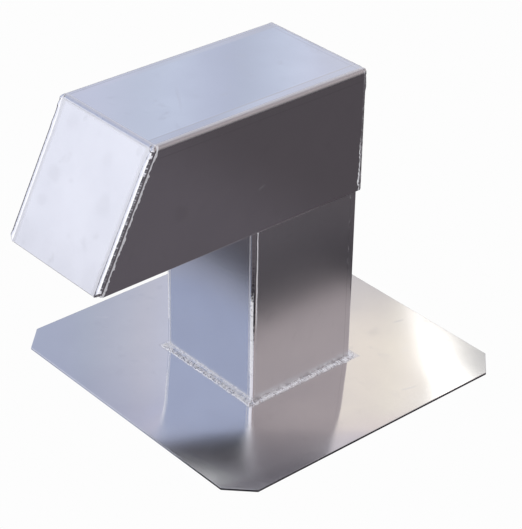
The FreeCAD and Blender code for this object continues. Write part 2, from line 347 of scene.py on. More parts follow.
def rear_details(tree, spot, x, y, z):
    """The frosted zone inside the rear panel's welds."""
    shift = wavering(tree, spot, 90.0, 1.5 * MM)
    side_zone = band(tree, HOOD_HALF - abs(x) + shift, 0.0, 9.0 * MM, 1.0 * MM)
    top_zone = band(tree, HOOD_TOP - z + shift, 0.0, 8.0 * MM, 1.0 * MM)
    return 0.0, side_zone * 0.45 + top_zone * 0.45, 0.0, 0.0, 0.0


def riser_details(tree, spot, x, y, z):
    """Press lines beside the rear folds, and the frosted zones by the seams and the foot."""
    side_line = line(tree, y - RISER_PRESS_LINE, 0.5 * MM)
    on_rear = tree.fade(y, RISER_HALF - MM, RISER_HALF)
    rear_line = line(tree, abs(x) - RISER_PRESS_LINE, 0.5 * MM) * on_rear
    shift = wavering(tree, spot, 220.0, 1.3 * MM)
    high = tree.fade(z, 85 * MM, 120 * MM)
    seam_zone = band(tree, y + RISER_HALF + shift, 4.6 * MM, 6.3 * MM, 0.3 * MM) * (high * 0.6 + 0.1)
    on_front = 1 - tree.fade(y, -RISER_HALF, -RISER_HALF + MM)
    face_zone = band(tree, RISER_HALF - abs(x), 5.4 * MM, 6.6 * MM, 0.3 * MM) * on_front
    foot_top = PLATE_TOP + FOOT_RISE
    foot_zone = 1 - tree.fade(z + shift, foot_top, foot_top + 1.0 * MM)
    dots = tree.fade(tree.noise(tree.stretched(spot, (300, 300, 220)), 1.0, 1.0, 0.5), 0.55, 0.62)
    frosted = seam_zone + face_zone * 0.6 + foot_zone * 0.15 + side_line * dots * 0.4
    return side_line + rear_line, frosted, 0.0, 0.0, 0.0


# Across, up, half length, half width in mm and lean in degrees of the plate's scratches
PLATE_SCRATCHES = [
    (-170, -96, 13, 1.0, 45), (-152, -107, 5, 1.1, 40), (-139, -123, 6, 1.0, 67),
    (58, 170, 10, 0.9, 79), (167, 85, 9, 0.9, 72), (165, 77, 6, 0.8, 62),
]

# The way towards the plate's near corner, which droops, and the plate's lean across that way
NEAR_CORNER_WAY = (0.75, -0.66)
PLATE_LEAN = -0.036


def plate_details(tree, spot, x, y, z):
    """The frosted zone round the foot weld, a few scratches, and the plate's slight lean and droop."""
    out = tree.larger(abs(x), abs(y)) - RISER_HALF
    shift = wavering(tree, spot, 110.0, 1.2 * MM)
    foot_zone = 1 - tree.fade(out + shift, FOOT_LEG, FOOT_LEG + 2.6 * MM)
    nicks = 0.0
    for across, up, half_length, half_width, lean in PLATE_SCRATCHES:
        nicks = nicks + scratch(tree, x, y, (across, up), half_length, half_width, lean)
    dirty = patch(tree, spot, (58 * MM, 130 * MM, PLATE_TOP), 12 * MM) * 0.3
    dirty = dirty + patch(tree, spot, (160 * MM, -188 * MM, PLATE_TOP), 10 * MM) * 0.4
    toward = x * NEAR_CORNER_WAY[0] + y * NEAR_CORNER_WAY[1]
    aside = x * -NEAR_CORNER_WAY[1] + y * NEAR_CORNER_WAY[0]
    margin = tree.larger(toward - 110 * MM, 0.0)
    tip = tree.larger(toward - 152 * MM, 0.0)
    droop = margin * margin * 0.25 + tip * tip * 0.6
    droop = droop * (1.25 - tree.fade(aside, -160 * MM, 40 * MM) * 0.25)
    middle = aside * (1 - tree.fade(abs(aside), 0.0, 130 * MM))
    middle = middle * tree.fade(toward, 100 * MM, 160 * MM)
    bend = aside * PLATE_LEAN + middle * 0.020 - droop
    matt = tree.fade(toward, 120 * MM, 185 * MM) * (1 - tree.fade(aside, 60 * MM, 100 * MM)) * 0.14
    return 0.0, foot_zone * 0.22 + nicks * 0.4, dirty, matt, bend


# Weld finish

CELL_HEIGHT = 0.2 * MM
GRIT_HEIGHT = 0.03 * MM


def weld_finish(name, roughness, mottle, oxide, crusted=None):
    """Bead metal: bright crests, grey pores, a fine skin and some white oxide in patches.

    crusted gives two heights between which oxide covers most of a riser seam's front half."""
    finish = bpy.data.materials.new(name)
    tree = Tree(finish)
    spot = tree.spot()
    cells = tree.noise(spot, 230.0, 3.0, 0.6)
    grit = tree.noise(spot, 1500.0, 2.0, 0.6)
    pore = tree.fade(cells, 0.60, 0.75)
    colour = tree.mix(pore * mottle, ALUMINIUM_WELD, ALUMINIUM_SOOT)
    crust = tree.fade(tree.noise(spot, 140.0, 2.0, 0.6), 0.35, 0.60) * oxide
    if crusted:
        start, end = crusted
        x, y, z = tree.axes(spot)
        covered = tree.fade(cells + (end - z) * 10.0, 0.45, 0.70)
        covered = covered * (1 - tree.fade(abs(x) + y, 0.0, 1.4 * MM))
        crust = crust + band(tree, z, start, end, 6 * MM) * covered * 0.7
    rough = roughness + (cells - 0.5) * 0.16 + (grit - 0.5) * 0.06 + crust * 0.2
    height = grit * (GRIT_HEIGHT * roughness) + cells * (CELL_HEIGHT * roughness)
    normal = tree.add("Bump", None, {"Strength": 1.0, "Distance": 1.0, "Height": height})
    shader = tree.add("BsdfPrincipled", None, {
        "Base Color": colour, "Metallic": 1 - crust, "Roughness": rough, "Normal": normal})
    tree.add("OutputMaterial", None, {"Surface": shader})
    return finish


# Mesh steps

def prism(corners, reach):
    """A flat outline pushed along reach."""
    bm = bmesh.new()
    face = bm.faces.new([bm.verts.new(corner) for corner in corners])
    push(bm, [face], reach)
    return bm


def push(bm, faces, reach):
    grown = bmesh.ops.extrude_face_region(bm, geom=faces)["geom"]
    bmesh.ops.translate(bm, vec=reach, verts=[v for v in grown if isinstance(v, bmesh.types.BMVert)])


def round_off(bm, edges, radius, segments):
    bmesh.ops.bevel(bm, geom=edges, offset=radius, offset_type="OFFSET", affect="EDGES",
                    segments=segments, profile=0.5, material=-1)


def break_rims(bm, radius=EDGE_BREAK):
    """A small round along every outward edge of the sheet."""
    bmesh.ops.recalc_face_normals(bm, faces=bm.faces)
    rims = [e for e in bm.edges if e.is_convex and e.calc_face_angle(0) > RIM_ANGLE]
    round_off(bm, rims, radius, 2)


def piece(bm, name, body, node, finish, weighted=True):
    """Turns a mesh into a shown piece that stands for a node."""
    bmesh.ops.recalc_face_normals(bm, faces=bm.faces)
    for edge in bm.edges:
        edge.smooth = edge.calc_face_angle(0) < SHARP_ANGLE
    for face in bm.faces:
        face.smooth = True
    mesh = bpy.data.meshes.new(name)
    bm.to_mesh(mesh)
    bm.free()
    mesh.materials.append(finish)
    made = bpy.data.objects.new(name, mesh)
    bpy.context.scene.collection.objects.link(made)
    if weighted:
        modifier = made.modifiers.new("even shading", "WEIGHTED_NORMAL")
        modifier.keep_sharp = True
        modifier.weight = 80
    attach(made, body)
    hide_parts(node)
    return made


# Sheet pieces

def front_y(z):
    """Y of the sloped front's outer face at height z."""
    return HOOD_FRONT + (z - SKIRT) * HOOD_SLOPE


def along(edge, axis):
    """Whether an edge runs along an axis, 0 for X to 2 for Z."""
    run = edge.verts[0].co - edge.verts[1].co
    return abs(run[axis]) > 0.99 * run.length


def fold_edges(bm, axis, across, up):
    """The edges along Y or Z at a distance across in X, on both sides, and at up on the third axis."""
    found = []
    for edge in bm.edges:
        corner = edge.verts[0].co
        off = math.hypot(abs(corner.x) - across, corner[3 - axis] - up)
        if along(edge, axis) and off < SAME_PLACE:
            found.append(edge)
    return found


def base_plate(finish):
    near = PLATE_HALF - PLATE_CROP
    far = PLATE_HALF
    outline = [(-far, -near), (-near, -far), (near, -far), (far, -near),
               (far, near), (near, far), (-near, far), (-far, near)]
    bm = bmesh.new()
    duct = bmesh.ops.create_grid(bm, x_segments=1, y_segments=1, size=DUCT_HALF)["verts"]
    bmesh.ops.bevel(bm, geom=duct, offset=DUCT_CORNER, offset_type="OFFSET", affect="VERTICES",
                    segments=6, profile=0.5, material=-1)
    bmesh.ops.delete(bm, geom=bm.faces[:], context="FACES_ONLY")
    corners = [bm.verts.new((x, y, 0)) for x, y in outline]
    for first, second in zip(corners, corners[1:] + corners[:1]):
        bm.edges.new((first, second))
    bmesh.ops.triangle_fill(bm, use_beauty=True, edges=bm.edges[:], normal=UP)
    push(bm, bm.faces[:], (0, 0, PLATE_TOP))
    bmesh.ops.dissolve_limit(bm, angle_limit=math.radians(1), verts=bm.verts, edges=bm.edges)
    break_rims(bm, PLATE_BREAK)
    return piece(bm, "roof_plate_sheet", "riser_base", "base_plate", finish)


def riser_shell(finish):
    outer = RISER_HALF
    inner = RISER_HALF - RISER_SHEET
    outline = [(-outer, -inner), (-outer, outer), (outer, outer), (outer, -inner),
               (inner, -inner), (inner, inner), (-inner, inner), (-inner, -inner)]
    bm = prism([(x, y, PLATE_TOP) for x, y in outline], (0, 0, RISER_TOP - PLATE_TOP))
    for reach, radius in ((outer, RISER_FOLD), (inner, RISER_FOLD - RISER_SHEET)):
        round_off(bm, fold_edges(bm, 2, reach, reach), radius, FOLD_SEGMENTS)
    break_rims(bm)
    return piece(bm, "riser_folded_sheet", "riser_base", "riser_shell", finish)


def riser_front(finish):
    half = weir_high.x
    outline = [(-half, PLATE_TOP), (half, PLATE_TOP), (half, WEIR_TOP), (-half, WEIR_TOP)]
    bm = prism([(x, -RISER_HALF, z) for x, z in outline], (0, RISER_SHEET, 0))
    break_rims(bm)
    return piece(bm, "riser_front_wall", "riser_base", "riser_front_panel", finish)


def crop_nose(bm):
    """Cuts away the two sharp corners where the sloped front, a side and the mouth meet."""
    for side in (1, -1):
        inner = Vector((side * (HOOD_HALF - NOSE_CROP), HOOD_FRONT, SKIRT))
        rear = Vector((side * HOOD_HALF, HOOD_FRONT + NOSE_CROP, SKIRT))
        above = Vector((side * HOOD_HALF, front_y(SKIRT + NOSE_CROP), SKIRT + NOSE_CROP))
        normal = (rear - inner).cross(above - inner).normalized()
        if normal.y > 0:
            normal = -normal
        whole = bm.verts[:] + bm.edges[:] + bm.faces[:]
        cut = bmesh.ops.bisect_plane(bm, geom=whole, dist=0.001 * MM, plane_co=inner, plane_no=normal,
                                     clear_outer=True)["geom_cut"]
        rims = [e for e in cut if isinstance(e, bmesh.types.BMEdge)]
        if rims:
            bmesh.ops.holes_fill(bm, edges=rims, sides=0)


def hood_shell(finish):
    crown = HOOD_TOP
    under = HOOD_TOP - HOOD_SHEET
    outline = [(-HOOD_HALF, SKIRT), (-HOOD_HALF, crown), (HOOD_HALF, crown), (HOOD_HALF, SKIRT),
               (HOOD_INNER, SKIRT), (HOOD_INNER, under), (-HOOD_INNER, under), (-HOOD_INNER, SKIRT)]
    rear = HOOD_REAR - HOOD_SHEET
    bm = prism([(x, HOOD_FRONT, z) for x, z in outline], (0, rear - HOOD_FRONT, 0))
    round_off(bm, fold_edges(bm, 1, HOOD_HALF, crown), HOOD_FOLD, FOLD_SEGMENTS)
    round_off(bm, fold_edges(bm, 1, HOOD_INNER, under), HOOD_FOLD - HOOD_SHEET, FOLD_SEGMENTS)
    for vert in bm.verts:
        if vert.co.y < 0:
            vert.co.y = front_y(vert.co.z) + HOOD_SHEET * SLOPE_STRETCH
    crop_nose(bm)
    break_rims(bm)
    return piece(bm, "hood_folded_sheet", "hood", "hood_shell", finish)


def arched_panel(y_at, reach):
    """A flat end panel that fits inside the hood's folded sheet, its top corners rounded to match the
    folds.
    """
    crown = HOOD_TOP - HOOD_SHEET
    outline = [(-HOOD_INNER, SKIRT), (HOOD_INNER, SKIRT), (HOOD_INNER, crown), (-HOOD_INNER, crown)]
    bm = prism([(x, 0, z) for x, z in outline], (0, reach, 0))
    folds = [e for e in bm.edges if along(e, 1) and e.verts[0].co.z > crown - MM]
    round_off(bm, folds, HOOD_FOLD - HOOD_SHEET, FOLD_SEGMENTS)
    for vert in bm.verts:
        vert.co.y += y_at(vert.co.z)
    return bm


def hood_front(finish):
    bm = arched_panel(front_y, HOOD_SHEET * SLOPE_STRETCH)
    mouth = [e for e in bm.edges if along(e, 0) and e.verts[0].co.z < SKIRT + MM]
    mouth = [e for e in mouth if e.verts[0].co.y < HOOD_FRONT + MM]
    round_off(bm, mouth, MOUTH_BREAK, 3)
    crop_nose(bm)
    break_rims(bm)
    return piece(bm, "hood_front_sheet", "hood", "hood_front_panel", finish)


def hood_rear(finish):
    bm = arched_panel(lambda z: HOOD_REAR - HOOD_SHEET, HOOD_SHEET)
    break_rims(bm)
    return piece(bm, "hood_rear_sheet", "hood", "hood_rear_panel", finish)


def locating_bar(finish):
    low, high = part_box("locating_strip")
    outline = [(low.x, low.z), (high.x, low.z), (high.x, high.z), (low.x, high.z)]
    bm = prism([(x, low.y, z) for x, z in outline], (0, high.y - low.y, 0))
    break_rims(bm)
    return piece(bm, "locating_bar", "hood", "locating_strip", finish)


# Weld beads

# Steps along and round a bead, the slope and flat stretch of its ends, how far its toes wander, the run
# over which its front leg narrows before a fold, and how far the top beads stop short of the folds
BEAD_STEP = 0.5 * MM
BEAD_ARC_POINTS = 16
END_LEAN = 0.4
FLAT_END = 1.1 * MM
FIRST_TOE_WANDER = 0.35 * MM
SECOND_TOE_WANDER = 0.40 * MM
NARROWING = 16 * MM
TOP_BEAD_INSET = 1.75 * MM

# Middle, width and height in mm of the larger lumps, measured from a bead's lower end
SLANT_SWELLS = [(6, 3, 0.5), (133.5, 3, 0.3), (153, 2.5, 0.6), (161, 2, 0.6)]
REAR_SWELLS = [(127, 6, 0.9), (147, 3, 0.4)]
SEAM_SWELLS = [(93, 4, 0.2), (101, 3, 0.2)]


def waver(seed, run, turn, per_metre):
    """A smooth random number from -1 to 1 along a bead and across it."""
    return noise.noise(Vector((run * per_metre, turn, seed)))


def swelling(run, swells):
    """How high the larger lumps, each with its middle, width and height, stand at a run."""
    return sum(height * math.exp(-((run / MM - middle) / width) ** 2) for middle, width, height in swells)


def crescent(run, pitch, across, lean=0.0):
    """Height from 0 to 1 of the ripples, which curve as they cross the bead from across 0 to 1."""
    return abs(math.sin(math.pi * (run / pitch - 0.5 * (2 * across - 1) ** 2 + lean * across)))


def inward_ways(face_a, face_b):
    """Directions that lie in each of two outer faces and lead away from the corner between them."""
    away_a = -(face_b - face_a * face_b.dot(face_a)).normalized()
    away_b = -(face_a - face_b * face_a.dot(face_b)).normalized()
    return away_a, away_b


class Bead:
    """A bead over a corner: a curved skin from a toe on one face to a toe on the other.

    legs are the toes' distances from the corner, handles how far the skin keeps its first direction
    at each toe as a share of the leg, and lifts how many degrees that direction rises. pitch and
    ripple are the ripples' spacing and height, lumps the height of small lumps, swells the larger
    ones, and fold_leg is the front leg where the bead turns round the fold."""

    def __init__(self, legs, lifts, sheet, pitch, ripple, lumps, seed, handles=(0.6, 0.6), swells=(),
                 fold_leg=None):
        self.legs = legs
        self.lifts = lifts
        self.sheet = sheet
        self.pitch = pitch
        self.ripple = ripple
        self.lumps = lumps
        self.seed = seed
        self.handles = handles
        self.swells = swells
        self.fold_leg = fold_leg or legs[0]

    def ring(self, corner, face_a, face_b, run, length):
        """Points round the bead's section at a corner between two outer faces."""
        away_a, away_b = inward_ways(face_a, face_b)
        fold_run = length - math.pi / 2 * HOOD_FOLD
        narrow = min(max((run - fold_run) / NARROWING + 1, 0), 1)
        first_leg = self.legs[0] * (1 - narrow) + self.fold_leg * narrow
        first_leg += FIRST_TOE_WANDER * waver(self.seed, run, 0, 70)
        second_leg = self.legs[1] + SECOND_TOE_WANDER * waver(self.seed + 3, run, 0, 110)
        to_end = END_LEAN * min(run, length - run)
        flat = min(1, to_end / FLAT_END) * (1 + 0.22 * waver(self.seed + 5, run, 0, 50))
        start = corner + away_a * first_leg
        end = corner + away_b * second_leg
        sides = zip((start, end), (away_a, away_b), (face_a, face_b), (first_leg, second_leg),
                    self.handles, self.lifts)
        leans = []
        for toe, away, face, leg, handle, lift in sides:
            rise = math.radians(lift) * flat
            leans.append(toe + (face * math.sin(rise) - away * math.cos(rise)) * (handle * leg))
        outward = (face_a + face_b).normalized()
        large = swelling(run, self.swells) * MM
        points = []
        for step in range(BEAD_ARC_POINTS):
            across = step / (BEAD_ARC_POINTS - 1)
            left = 1 - across
            point = start * left ** 3 + leans[0] * (3 * left * left * across)
            point = point + leans[1] * (3 * left * across * across) + end * across ** 3
            crest = crescent(run, self.pitch, across)
            lump = waver(self.seed + 9, run, across * 2.5, 300)
            lump += 0.5 * waver(self.seed + 11, run, across * 5, 800)
            swell = self.ripple * crest + self.lumps * (1 + narrow) * (1 + 1.5 * lump) + large
            points.append(point + outward * (4 * left * across * min(swell, to_end)))
        points.append(corner + away_b * (0.8 * second_leg) - face_b * (0.5 * self.sheet))
        points.append(corner + (away_a + away_b) * (1.06 * self.sheet))
        points.append(corner + away_a * (0.8 * first_leg) - face_a * (0.5 * self.sheet))
        return points


def swept(rings):
    """A closed skin through rings of points, each ring extruded from the last."""
    bm = bmesh.new()
    verts = [bm.verts.new(point) for point in rings[0]]
    edges = [bm.edges.new(pair) for pair in zip(verts, verts[1:] + verts[:1])]
    ends = [edges]
    for ring in rings[1:]:
        grown = bmesh.ops.extrude_edge_only(bm, edges=edges)["geom"]
        fresh = [v for v in grown if isinstance(v, bmesh.types.BMVert)]
        edges = [e for e in grown if isinstance(e, bmesh.types.BMEdge)]
        for vert, place in zip(fresh, ring):
            vert.co = place
    ends.append(edges)
    for end in ends:
        bmesh.ops.contextual_create(bm, geom=end)
    return bm


def bead_skin(places, bead):
    """A bead along places, each a corner point with the two faces that meet there."""
    runs = [0.0]
    for first, second in zip(places, places[1:]):
        runs.append(runs[-1] + (second[0] - first[0]).length)
    return swept([bead.ring(*place, run, runs[-1]) for place, run in zip(places, runs)])


def bead_piece(bm, name, body, node, finish):
    """A bead's mesh, shown as weld metal in place of a node."""
    return piece(bm, name, body, node, finish, weighted=False)


def straight_places(start, end, *faces):
    """Points along a straight run, each with the outer faces that go with it."""
    steps = math.ceil((end - start).length / BEAD_STEP)
    return [(start.lerp(end, step / steps), *faces) for step in range(steps + 1)]


def hood_corner_places(side, face_a, y_at):
    """Up a hood corner and round its fold to the roof."""
    spring = HOOD_TOP - HOOD_FOLD
    turn = HOOD_HALF - HOOD_FOLD
    foot = Vector((side * HOOD_HALF, y_at(SKIRT), SKIRT))
    shoulder = Vector((side * HOOD_HALF, y_at(spring), spring))
    places = straight_places(foot, shoulder, face_a, Vector((side, 0, 0)))
    steps = 2 * FOLD_SEGMENTS
    for step in range(1, steps + 1):
        angle = math.radians(90 * step / steps)
        z = spring + HOOD_FOLD * math.sin(angle)
        corner = Vector((side * (turn + HOOD_FOLD * math.cos(angle)), y_at(z), z))
        places.append((corner, face_a, Vector((side * math.cos(angle), 0, math.sin(angle)))))
    return places


def side_word(side):
    return "right" if side > 0 else "left"


def hood_corner_beads(slant_finish, rear_finish):
    for side in (1, -1):
        word = side_word(side)
        slant = Bead(legs=(7.2 * MM, 3.9 * MM), lifts=(16, 18), sheet=HOOD_SHEET, pitch=2.6 * MM,
                     ripple=0.05 * MM, lumps=0.07 * MM, seed=3 + side, handles=(0.62, 0.75),
                     swells=SLANT_SWELLS, fold_leg=4.6 * MM)
        bm = bead_skin(hood_corner_places(side, FRONT_NORMAL, front_y), slant)
        crop_nose(bm)
        bead_piece(bm, "slant_bead_" + word, "hood", "hood_slant_weld_" + word, slant_finish)
        rear = Bead(legs=(5.0 * MM, 4.6 * MM), lifts=(14, 14), sheet=HOOD_SHEET, pitch=3.1 * MM,
                    ripple=0.08 * MM, lumps=0.10 * MM, seed=13 + side, swells=REAR_SWELLS,
                    fold_leg=3.8 * MM)
        bm = bead_skin(hood_corner_places(side, BEHIND, lambda z: HOOD_REAR), rear)
        bead_piece(bm, "rear_bead_" + word, "hood", "hood_rear_weld_" + word, rear_finish)


def hood_top_beads(brow_finish, ridge_finish):
    """The flush bead over the sloped panel and the rougher one along the rear."""
    half = HOOD_HALF - HOOD_FOLD - TOP_BEAD_INSET
    brow = Bead(legs=(3.6 * MM, 3.6 * MM), lifts=(12, 12), sheet=HOOD_SHEET, pitch=2.4 * MM,
                ripple=0.02 * MM, lumps=0.03 * MM, seed=21)
    ridge = Bead(legs=(4.4 * MM, 4.2 * MM), lifts=(12, 12), sheet=HOOD_SHEET, pitch=2.9 * MM,
                 ripple=0.08 * MM, lumps=0.08 * MM, seed=23)
    rows = [("brow", front_y(HOOD_TOP), FRONT_NORMAL, brow, brow_finish),
            ("ridge", HOOD_REAR, BEHIND, ridge, ridge_finish)]
    for word, y, face, bead, finish in rows:
        places = straight_places(Vector((-half, y, HOOD_TOP)), Vector((half, y, HOOD_TOP)), face, UP)
        bead_piece(bead_skin(places, bead), word + "_bead", "hood", "hood_" + word + "_weld", finish)


def riser_beads(finish):
    for side in (1, -1):
        word = side_word(side)
        corner = Vector((side * RISER_HALF, -RISER_HALF, 0))
        seam = Bead(legs=(4.3 * MM, 4.6 * MM), lifts=(24, 24), sheet=RISER_SHEET, pitch=2.8 * MM,
                    ripple=0.02 * MM, lumps=0.05 * MM, seed=31 + side, swells=SEAM_SWELLS)
        places = straight_places(corner + UP * PLATE_TOP, corner + UP * WEIR_TOP,
                                 AHEAD, Vector((side, 0, 0)))
        bead_piece(bead_skin(places, seam), "riser_seam_bead_" + word, "riser_base",
                   "riser_seam_weld_" + word, finish)


# Fillet welds at the riser's foot and at the locating bar's ends

FOOT_ARC_POINTS = 14
FOOT_TURN_STEPS = 16
FOOT_PITCH = 2.9 * MM
FOOT_LEAN = 0.4
FOOT_CROWN = 0.85 * MM
STRIP_ARC_POINTS = 9
STRIP_STEPS = 60
STRIP_PITCH = 2.6 * MM
STRIP_CROWN = 0.3 * MM

# How far a fillet's toes and its back sink into the sheets
TOE_DEPTH = 0.3 * MM
BACK_DEPTH = 0.6 * MM
CORNER_DEPTH = 0.8 * MM

# Middle and width in mm, and share by which the fillet grows where the welder started and stopped
FRONT_FOOT_SWELLS = [(6, 4, 0.25), (162, 4, 0.25)]
REAR_FOOT_SWELLS = [(4, 4, 0.3), (150, 4, 0.3)]
SIDE_FOOT_SWELLS = [(140, 6, 0.3)]


def foot_ring(corner, outward, run, seed, swells):
    """Section of the fillet between the plate and the wall, with crescents that lean along the run."""
    swell = 1 + swelling(run, swells)
    low_leg = FOOT_LEG * swell * (0.94 + 0.16 * waver(seed, run, 0, 170))
    high_leg = FOOT_RISE * swell * (0.94 + 0.20 * waver(seed, run, 5, 170))
    points = []
    for step in range(FOOT_ARC_POINTS):
        across = step / (FOOT_ARC_POINTS - 1)
        left = 1 - across
        crest = crescent(run, FOOT_PITCH, across, FOOT_LEAN)
        lump = waver(seed + 11, run, across * 2.0, 330)
        speck = waver(seed + 17, run, across * 6.0, 900)
        crown = 4 * across * left * (0.75 * crest + 0.60 * lump + 0.45 * speck + 0.25) * FOOT_CROWN
        points.append(corner + outward * (low_leg * left + crown) + UP * (high_leg * across + crown))
    points[0] -= UP * TOE_DEPTH
    points[-1] -= outward * TOE_DEPTH
    points.append(corner - outward * BACK_DEPTH + UP * FOOT_RISE * 0.7)
    points.append(corner - outward * CORNER_DEPTH - UP * CORNER_DEPTH)
    points.append(corner + outward * FOOT_LEG * 0.7 - UP * BACK_DEPTH)
    return points


def foot_turn(centre, radius, start_angle):
    """A quarter turn round a riser corner."""
    places = []
    for step in range(FOOT_TURN_STEPS + 1):
        angle = math.radians(start_angle + 90 * step / FOOT_TURN_STEPS)
        outward = Vector((math.cos(angle), math.sin(angle), 0))
        places.append((centre + outward * radius, outward))
    return places


def foot_bead(places, seed, swells, word, finish):
    """The fillet along one side of the riser, from places with a point and the way outwards each."""
    runs = [0.0]
    for first, second in zip(places, places[1:]):
        step = (second[0] - first[0]) + (second[1] - first[1]) * FOOT_LEG
        runs.append(runs[-1] + step.length)
    rings = [foot_ring(corner, outward, run, seed, swells) for (corner, outward), run in zip(places, runs)]
    bead_piece(swept(rings), "foot_bead_" + word, "riser_base", "foot_weld_" + word, finish)


def foot_beads(finish):
    """The front run turns round both sharp corners and the rear run round both folds."""
    half = RISER_HALF
    z = PLATE_TOP
    rear = RISER_HALF - RISER_FOLD
    front = foot_turn(Vector((-half, -half, z)), 0, 180)[:-1]
    front += straight_places(Vector((-half, -half, z)), Vector((half, -half, z)), AHEAD)
    front += foot_turn(Vector((half, -half, z)), 0, 270)[1:]
    foot_bead(front, 41, FRONT_FOOT_SWELLS, "front", finish)
    back = foot_turn(Vector((rear, rear, z)), RISER_FOLD, 0)[:-1]
    back += straight_places(Vector((rear, half, z)), Vector((-rear, half, z)), BEHIND)
    back += foot_turn(Vector((-rear, rear, z)), RISER_FOLD, 90)[1:]
    foot_bead(back, 43, REAR_FOOT_SWELLS, "rear", finish)
    for side in (1, -1):
        start = Vector((side * half, -half, z))
        end = Vector((side * half, rear, z))
        run = straight_places(start, end, Vector((side, 0, 0)))
        foot_bead(run, 45 + side, SIDE_FOOT_SWELLS, side_word(side), finish)


def strip_ring(corner, inward, leg, crown):
    """Section of the fillet between a hood side and the locating bar."""
    ring = []
    for step in range(STRIP_ARC_POINTS):
        across = step / (STRIP_ARC_POINTS - 1)
        left = 1 - across
        rise = 4 * across * left * crown
        ring.append(corner + inward * (leg * left + rise) + AHEAD * (leg * across + rise))
    ring.append(corner - inward * BACK_DEPTH + AHEAD * leg * 0.5)
    ring.append(corner - inward * BACK_DEPTH - AHEAD * BACK_DEPTH)
    ring.append(corner + inward * leg * 0.5 - AHEAD * BACK_DEPTH)
    return ring


def strip_beads(finish):
    """Two short fillets that hold the locating bar's ends to the hood's sides."""
    for side in (1, -1):
        word = side_word(side)
        low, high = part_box("strip_weld_" + word)
        rings = []
        for step in range(STRIP_STEPS + 1):
            z = low.z + (high.z - low.z) * step / STRIP_STEPS
            corner = Vector((side * HOOD_INNER, high.y, z))
            crown = STRIP_CROWN * abs(math.sin(math.pi * z / STRIP_PITCH))
            rings.append(strip_ring(corner, Vector((-side, 0, 0)), high.x - low.x, crown))
        bead_piece(swept(rings), "strip_bead_" + word, "hood", "strip_weld_" + word, finish)


# Floor: pale to look at, a dark workshop floor in the reflections, with a painted shadow along the plate's
# edges and a painted pool of light ahead of its front

PALE_FLOOR = (0.982, 0.982, 0.982)
DARK_FLOOR = (0.078, 0.068, 0.077)
NEAR_FLOOR = (0.104, 0.092, 0.107)
LIT_FLOOR = (0.360, 0.385, 0.500)
# Painted shadow: near black on the reflected floor along the plate's edges
PLATE_EDGE_SHADOW = (0.015, 0.013, 0.018)
FLOOR_HALF = 12.0
FLOOR_GAP = 0.1 * MM


def beyond_plate(tree, x, y):
    """Distance outside the plate's outline, negative under the plate."""
    beyond_side = tree.larger(abs(x), abs(y)) - PLATE_HALF
    beyond_crop = (abs(x) + abs(y) - (2 * PLATE_HALF - PLATE_CROP)) * math.sqrt(0.5)
    return tree.larger(beyond_side, beyond_crop)


def glow(tree, colour):
    return tree.add("Emission", None, {"Color": opaque(colour)})


def pale_paint(tree):
    return glow(tree, PALE_FLOOR)


def dark_paint(tree):
    """Dark all over, lit ahead of the plate's front, and black in the shade along the plate's edges."""
    x, y = tree.axes(tree.spot())[:2]
    outside = beyond_plate(tree, x, y)
    colour = tree.mix(tree.fade(y, 150 * MM, 340 * MM), NEAR_FLOOR, DARK_FLOOR)
    # Painted shadow: near black on the floor within about 60 to 170 mm of the plate's edges
    colour = tree.mix(tree.fade(outside, 60 * MM, 170 * MM), PLATE_EDGE_SHADOW, colour)
    ahead = tree.fade(y, -262 * MM, -215 * MM) * (1 - tree.fade(y, -160 * MM, -130 * MM))
    return glow(tree, tree.mix(ahead * (1 - tree.fade(x, 0.0, 150 * MM)), colour, LIT_FLOOR))


def floor_sheet(name, paint, seen):
    """A large floor level with the plate's underside, clear from below and under the plate."""
    bm = bmesh.new()
    bmesh.ops.create_grid(bm, x_segments=1, y_segments=1, size=FLOOR_HALF)
    mesh = bpy.data.meshes.new(name)
    bm.to_mesh(mesh)
    bm.free()
    coat = bpy.data.materials.new(name)
    tree = Tree(coat)
    x, y = tree.axes(tree.spot())[:2]
    under_plate = 1 - tree.fade(beyond_plate(tree, x, y), -1.5 * MM, -1.0 * MM)
    hidden = tree.larger(tree.add("NewGeometry", output=6), under_plate)
    clear = tree.add("BsdfTransparent")
    tree.add("OutputMaterial", None, {
        "Surface": tree.add("MixShader", None, {0: hidden, 1: paint(tree), 2: clear})})
    mesh.materials.append(coat)
    floor = bpy.data.objects.new(name, mesh)
    floor.location.z = -FLOOR_GAP
    floor.visible_camera = seen
    floor.visible_glossy = not seen
    floor.visible_diffuse = False
    floor.visible_shadow = False
    bpy.context.scene.collection.objects.link(floor)


# Room: its colours by compass direction in degrees, from +X towards +Y, low down and higher up

LOW_WALLS = [
    (-180, (0.62, 0.66, 0.80)), (-150, (0.84, 0.87, 1.00)), (-131, (0.94, 0.955, 1.07)),
    (-120, (1.00, 1.00, 1.08)), (-110, (1.30, 1.30, 1.35)), (-88, (1.30, 1.30, 1.35)),
    (-79, (0.08, 0.075, 0.10)), (-70, (0.05, 0.045, 0.06)), (-41, (0.10, 0.10, 0.11)),
    (0, (0.20, 0.18, 0.19)), (42, (0.32, 0.28, 0.28)), (90, (0.55, 0.52, 0.52)),
    (138, (0.60, 0.60, 0.68)), (180, (0.62, 0.66, 0.80)),
]
HIGH_WALLS = [
    (-180, (0.48, 0.51, 0.66)), (-144, (0.37, 0.42, 0.60)), (-133, (0.37, 0.42, 0.60)),
    (-116, (0.95, 0.95, 1.02)), (-10, (0.90, 0.86, 0.94)), (-2, (0.25, 0.22, 0.26)),
    (8, (0.30, 0.27, 0.29)), (20, (0.46, 0.40, 0.41)), (80, (0.46, 0.40, 0.41)),
    (105, (0.60, 0.57, 0.60)), (138, (0.58, 0.585, 0.66)), (180, (0.50, 0.53, 0.68)),
]

